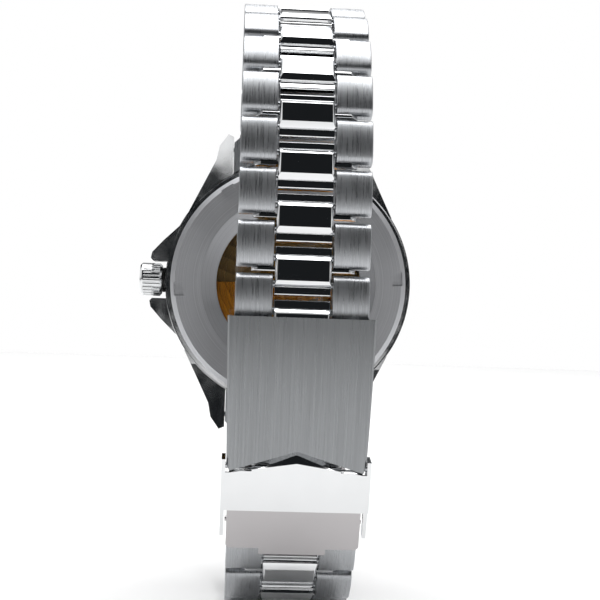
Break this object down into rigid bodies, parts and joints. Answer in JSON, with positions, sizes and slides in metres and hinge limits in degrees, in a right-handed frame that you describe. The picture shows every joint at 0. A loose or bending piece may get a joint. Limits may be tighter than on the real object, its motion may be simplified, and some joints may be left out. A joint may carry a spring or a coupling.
{
  "type": "automatic dive watch",
  "caption": "Automatic diver's wristwatch with a turning bezel, a window case back and a three-row steel bracelet with a fold-over safety clasp.",
  "frame": {"origin": "middle of the case back's flat outer plane, where the watch rests on the wrist", "axes": "+Z to 12 o'clock, the dial faces +Y and the case back -Y, the crown is at -X"},
  "size_m": [0.0458, 0.0548, 0.0921],
  "materials": {
    "case_steel": "satin and polished stainless steel",
    "back_steel": "satin turned stainless steel",
    "sapphire": "clear, polished",
    "seal_rubber": "matt black",
    "insert_black": "glossy black insert",
    "lume": "pale luminous filling",
    "spring_steel": "drawn steel",
    "dial_black": "matt black paint",
    "hand_polished": "polished",
    "holder_plastic": "moulded",
    "gilt_brass": "gilt with fine striping",
    "movement_plate": "plated, pearled",
    "bracelet_steel": "brushed outer pieces, polished centre pieces",
    "clasp_brushed": "brushed along the bracelet",
    "clasp_polished": "polished"
  },
  "bodies": {
    "head": {"mid_case": "case_steel", "case_back": "back_steel", "case_back_crystal": "sapphire", "case_back_gasket": "seal_rubber", "crown_tube": "case_steel", "crown_gasket": "seal_rubber", "bezel_click_spring": "spring_steel", "crystal": "sapphire", "crystal_gasket": "seal_rubber", "chapter_ring": "dial_black", "dial": "dial_black", "hour_markers": "lume", "hand_arbor": "spring_steel", "movement_holder": "holder_plastic", "main_plate": "movement_plate", "movement_bridge": "movement_plate", "balance_cock": "movement_plate", "rotor_bearing": "gilt_brass", "lug_spring_bars": "spring_steel", "end_link_12": "case_steel", "end_link_6": "case_steel"},
    "bezel": {"bezel": "case_steel", "bezel_insert": "insert_black", "bezel_pip": "lume"},
    "stem": {"winding_stem": "spring_steel"},
    "crown": {"crown": "case_steel"},
    "rotor": {"rotor": "gilt_brass"},
    "balance": {"balance_wheel": "gilt_brass"},
    "hour_hand": {"hour_hand": "hand_polished"},
    "minute_hand": {"minute_hand": "hand_polished"},
    "second_hand": {"second_hand": "hand_polished"},
    "upper_link_1": {"upper_link_1": "bracelet_steel"},
    "upper_link_2": {"upper_link_2": "bracelet_steel"},
    "upper_link_3": {"upper_link_3": "bracelet_steel"},
    "upper_link_4": {"upper_link_4": "bracelet_steel"},
    "upper_link_5": {"upper_link_5": "bracelet_steel"},
    "upper_link_6": {"upper_link_6": "bracelet_steel"},
    "upper_link_7": {"upper_link_7": "bracelet_steel"},
    "upper_link_8": {"upper_link_8": "bracelet_steel"},
    "upper_link_9": {"upper_link_9": "bracelet_steel"},
    "upper_link_10": {"upper_link_10": "bracelet_steel"},
    "upper_link_11": {"upper_link_11": "bracelet_steel"},
    "upper_link_12": {"upper_link_12": "bracelet_steel", "clasp_spring_bar": "spring_steel"},
    "lower_link_1": {"lower_link_1": "bracelet_steel"},
    "lower_link_2": {"lower_link_2": "bracelet_steel"},
    "lower_link_3": {"lower_link_3": "bracelet_steel"},
    "lower_link_4": {"lower_link_4": "bracelet_steel"},
    "lower_link_5": {"lower_link_5": "bracelet_steel"},
    "lower_link_6": {"lower_link_6": "bracelet_steel"},
    "lower_link_7": {"lower_link_7": "bracelet_steel"},
    "lower_link_8": {"lower_link_8": "bracelet_steel"},
    "bottom_blade": {"bottom_blade": "clasp_brushed", "fold_pin": "spring_steel"},
    "middle_blade": {"middle_blade": "clasp_brushed"},
    "clasp_cover": {"clasp_cover": "clasp_brushed", "cover_pin": "spring_steel", "latch_pins": "spring_steel"},
    "safety_latch": {"safety_latch": "clasp_polished"}
  },
  "joints": [
    {"name": "bezel_turn", "type": "hinge", "parent": "head", "child": "bezel", "pos_m": [0, 0.01, 0], "axis": [0, 1, 0], "continuous": true},
    {"name": "crown_pull", "type": "slide", "parent": "head", "child": "stem", "axis": [-1, 0, 0], "range_m": [0, 0.0015]},
    {"name": "crown_turn", "type": "hinge", "parent": "stem", "child": "crown", "pos_m": [-0.023, 0.0054, 0], "axis": [-1, 0, 0], "continuous": true},
    {"name": "rotor_spin", "type": "hinge", "parent": "head", "child": "rotor", "pos_m": [0, 0.0025, 0], "axis": [0, -1, 0], "continuous": true},
    {"name": "balance_swing", "type": "hinge", "parent": "head", "child": "balance", "pos_m": [0.0056, 0.0045, -0.0054], "axis": [0, -1, 0], "range_deg": [-140, 140]},
    {"name": "minute_turn", "type": "hinge", "parent": "head", "child": "minute_hand", "pos_m": [0, 0.00844, 0], "axis": [0, -1, 0], "continuous": true},
    {"name": "hour_turn", "type": "hinge", "parent": "head", "child": "hour_hand", "pos_m": [0, 0.00804, 0], "axis": [0, -1, 0], "continuous": true},
    {"name": "second_turn", "type": "hinge", "parent": "head", "child": "second_hand", "pos_m": [0, 0.00882, 0], "axis": [0, -1, 0], "continuous": true},
    {"name": "upper_hinge_1", "type": "hinge", "parent": "head", "child": "upper_link_1", "pos_m": [0, 0.0025, 0.027], "axis": [1, 0, 0], "range_deg": [0, 5]},
    {"name": "upper_hinge_2", "type": "hinge", "parent": "upper_link_1", "child": "upper_link_2", "pos_m": [0, 0.00097, 0.03404], "axis": [1, 0, 0], "range_deg": [0, 3]},
    {"name": "upper_hinge_3", "type": "hinge", "parent": "upper_link_2", "child": "upper_link_3", "pos_m": [0, -0.00387, 0.03936], "axis": [1, 0, 0], "range_deg": [0, 3]},
    {"name": "upper_hinge_4", "type": "hinge", "parent": "upper_link_3", "child": "upper_link_4", "pos_m": [0, -0.01076, 0.04146], "axis": [1, 0, 0], "range_deg": [0, 3]},
    {"name": "upper_hinge_5", "type": "hinge", "parent": "upper_link_4", "child": "upper_link_5", "pos_m": [0, -0.01793, 0.04084], "axis": [1, 0, 0], "range_deg": [0, 4]},
    {"name": "upper_hinge_6", "type": "hinge", "parent": "upper_link_5", "child": "upper_link_6", "pos_m": [0, -0.02451, 0.03791], "axis": [1, 0, 0], "range_deg": [0, 5]},
    {"name": "upper_hinge_7", "type": "hinge", "parent": "upper_link_6", "child": "upper_link_7", "pos_m": [0, -0.03003, 0.03328], "axis": [1, 0, 0], "range_deg": [0, 6]},
    {"name": "upper_hinge_8", "type": "hinge", "parent": "upper_link_7", "child": "upper_link_8", "pos_m": [0, -0.03426, 0.02746], "axis": [1, 0, 0], "range_deg": [0, 9]},
    {"name": "upper_hinge_9", "type": "hinge", "parent": "upper_link_8", "child": "upper_link_9", "pos_m": [0, -0.03696, 0.02078], "axis": [1, 0, 0], "range_deg": [0, 11]},
    {"name": "upper_hinge_10", "type": "hinge", "parent": "upper_link_9", "child": "upper_link_10", "pos_m": [0, -0.03845, 0.01374], "axis": [1, 0, 0], "range_deg": [0, 13]},
    {"name": "upper_hinge_11", "type": "hinge", "parent": "upper_link_10", "child": "upper_link_11", "pos_m": [0, -0.0392, 0.00658], "axis": [1, 0, 0], "range_deg": [0, 15]},
    {"name": "upper_hinge_12", "type": "hinge", "parent": "upper_link_11", "child": "upper_link_12", "pos_m": [0, -0.03958, -0.00061], "axis": [1, 0, 0], "range_deg": [0, 15]},
    {"name": "lower_hinge_1", "type": "hinge", "parent": "head", "child": "lower_link_1", "pos_m": [0, 0.0025, -0.027], "axis": [1, 0, 0], "range_deg": [0, 10]},
    {"name": "lower_hinge_2", "type": "hinge", "parent": "lower_link_1", "child": "lower_link_2", "pos_m": [0, 0.00186, -0.03417], "axis": [1, 0, 0], "range_deg": [0, 15]},
    {"name": "lower_hinge_3", "type": "hinge", "parent": "lower_link_2", "child": "lower_link_3", "pos_m": [0, -0.00089, -0.04082], "axis": [1, 0, 0], "range_deg": [0, 15]},
    {"name": "lower_hinge_4", "type": "hinge", "parent": "lower_link_3", "child": "lower_link_4", "pos_m": [0, -0.00633, -0.04555], "axis": [1, 0, 0], "range_deg": [0, 15]},
    {"name": "lower_hinge_5", "type": "hinge", "parent": "lower_link_4", "child": "lower_link_5", "pos_m": [0, -0.01313, -0.04789], "axis": [1, 0, 0], "range_deg": [0, 15]},
    {"name": "lower_hinge_6", "type": "hinge", "parent": "lower_link_5", "child": "lower_link_6", "pos_m": [0, -0.02032, -0.04752], "axis": [1, 0, 0], "range_deg": [0, 15]},
    {"name": "lower_hinge_7", "type": "hinge", "parent": "lower_link_6", "child": "lower_link_7", "pos_m": [0, -0.02685, -0.04447], "axis": [1, 0, 0], "range_deg": [0, 15]},
    {"name": "lower_hinge_8", "type": "hinge", "parent": "lower_link_7", "child": "lower_link_8", "pos_m": [0, -0.03185, -0.03929], "axis": [1, 0, 0], "range_deg": [0, 12]},
    {"name": "blade_hinge", "type": "hinge", "parent": "lower_link_8", "child": "bottom_blade", "pos_m": [0, -0.03354, -0.03611], "axis": [1, 0, 0], "range_deg": [0, 20]},
    {"name": "clasp_fold", "type": "hinge", "parent": "bottom_blade", "child": "middle_blade", "pos_m": [0, -0.03914, -0.01467], "axis": [-1, 0, 0], "range_deg": [0, 135]},
    {"name": "cover_hinge", "type": "hinge", "parent": "middle_blade", "child": "clasp_cover", "pos_m": [0, -0.03892, -0.02092], "axis": [-1, 0, 0], "range_deg": [-135, 0]},
    {"name": "latch_flip", "type": "hinge", "parent": "clasp_cover", "child": "safety_latch", "pos_m": [0, -0.0399, -0.02503], "axis": [-1, 0, 0], "range_deg": [0, 50]}
  ],
  "couplings": [
    {"joint": "hour_turn", "follows": "minute_turn", "ratio": 0.083333},
    {"joint": "cover_hinge", "follows": "clasp_fold", "ratio": -1}
  ]
}
